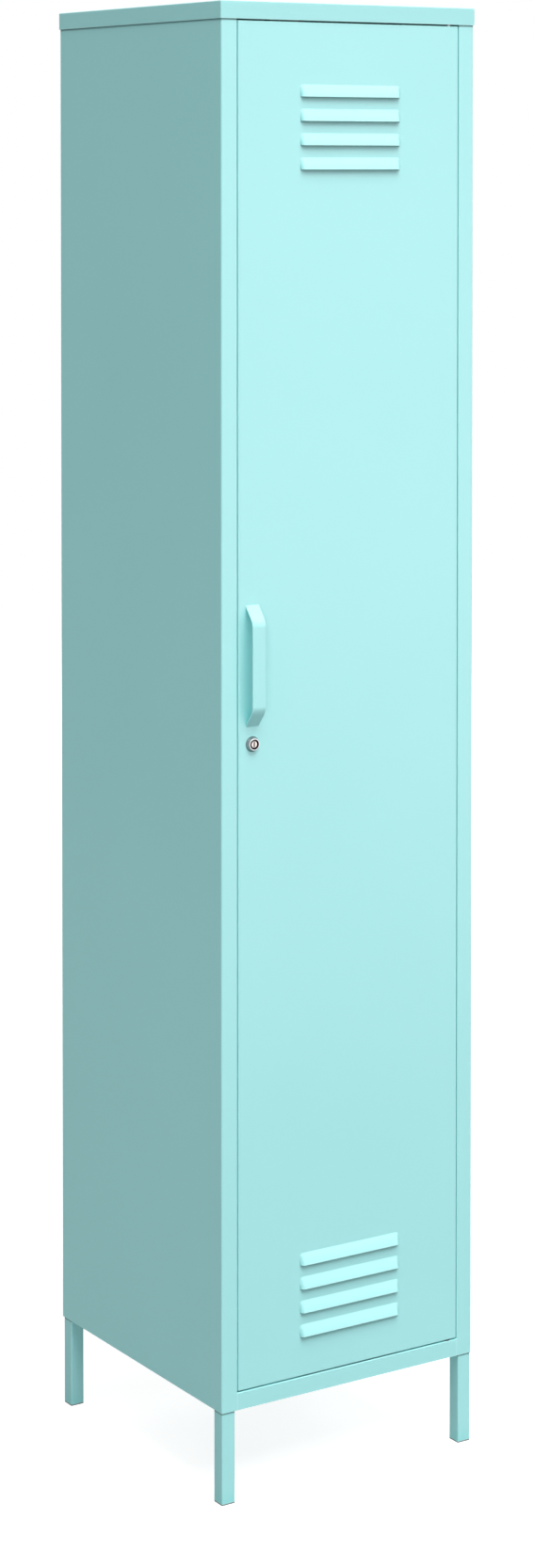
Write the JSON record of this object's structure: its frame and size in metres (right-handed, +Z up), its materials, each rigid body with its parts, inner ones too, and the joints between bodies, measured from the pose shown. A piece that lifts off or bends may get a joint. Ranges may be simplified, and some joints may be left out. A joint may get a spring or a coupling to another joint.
{
  "type": "metal locker",
  "caption": "Tall narrow sheet-steel locker on square tube legs, with a flush louvred door on concealed pivots, a strap handle, a cam lock, shelves and a hanging rod.",
  "frame": {"origin": "on the floor, under the middle of the whole box", "axes": "+Z up, the door faces -Y, +X to the right as seen from the front"},
  "size_m": [0.3824, 0.4174, 1.85],
  "materials": {
    "mint_coat": "satin powder coat, pale mint, with a fine orange peel",
    "chrome": "polished",
    "zinc_steel": "bright zinc plate",
    "grey_plastic": "fine moulded grain",
    "dark_nylon": "smooth, slightly waxy",
    "black_rubber": "matt",
    "ferrite": "ground, dull"
  },
  "bodies": {
    "cabinet": {"left_side_panel": "mint_coat", "right_side_panel": "mint_coat", "back_panel": "mint_coat", "top_lid": "mint_coat", "header_rail": "mint_coat", "base_pan": "mint_coat", "front_left_leg": "mint_coat", "front_right_leg": "mint_coat", "rear_left_leg": "mint_coat", "rear_right_leg": "mint_coat", "front_left_rail": "mint_coat", "front_right_rail": "mint_coat", "rear_left_rail": "mint_coat", "rear_right_rail": "mint_coat", "upper_shelf": "mint_coat", "lower_shelf": "mint_coat", "hanging_rod": "chrome", "back_rivets": "zinc_steel", "lid_studs": "zinc_steel", "lid_nuts": "zinc_steel", "leg_bolts": "zinc_steel", "leg_nuts": "zinc_steel", "upper_shelf_clips": "zinc_steel", "lower_shelf_clips": "zinc_steel", "left_rod_bracket": "zinc_steel", "right_rod_bracket": "zinc_steel", "rod_screws": "zinc_steel", "rod_nuts": "zinc_steel", "catch_pole_plates": "zinc_steel", "catch_screws": "zinc_steel", "front_left_glide": "grey_plastic", "front_right_glide": "grey_plastic", "rear_left_glide": "grey_plastic", "rear_right_glide": "grey_plastic", "catch_housing": "grey_plastic", "rod_end_caps": "grey_plastic", "top_pivot_bush": "dark_nylon", "bottom_pivot_bush": "dark_nylon", "door_bumpers": "black_rubber", "catch_magnet": "ferrite"},
    "door": {"door_skin": "mint_coat", "door_stiffener": "mint_coat", "handle": "mint_coat", "lock_body": "chrome", "lock_nut": "zinc_steel", "top_pivot_bracket": "mint_coat", "bottom_pivot_bracket": "mint_coat", "bottom_pivot_pin": "zinc_steel", "pivot_spring": "zinc_steel", "door_strike": "zinc_steel", "strike_screws": "zinc_steel"},
    "lock": {"lock_plug": "chrome", "lock_cam": "zinc_steel", "cam_screw": "zinc_steel"},
    "top_pivot": {"top_pivot_pin": "zinc_steel"}
  },
  "joints": [
    {"name": "door_hinge", "type": "hinge", "parent": "cabinet", "child": "door", "pos_m": [0.1539, -0.18702, 0], "axis": [0, 0, 1], "range_deg": [0, 110]},
    {"name": "lock_turn", "type": "hinge", "parent": "door", "child": "lock", "pos_m": [-0.1452, -0.19253, 0.9388], "axis": [0, -1, 0], "range_deg": [0, 90]},
    {"name": "top_pin_slide", "type": "slide", "parent": "door", "child": "top_pivot", "axis": [0, 0, 1], "range_m": [-0.01, 0], "stiffness_N_per_m": 500, "springref_m": 0.004, "deforming": ["pivot_spring"]}
  ]
}
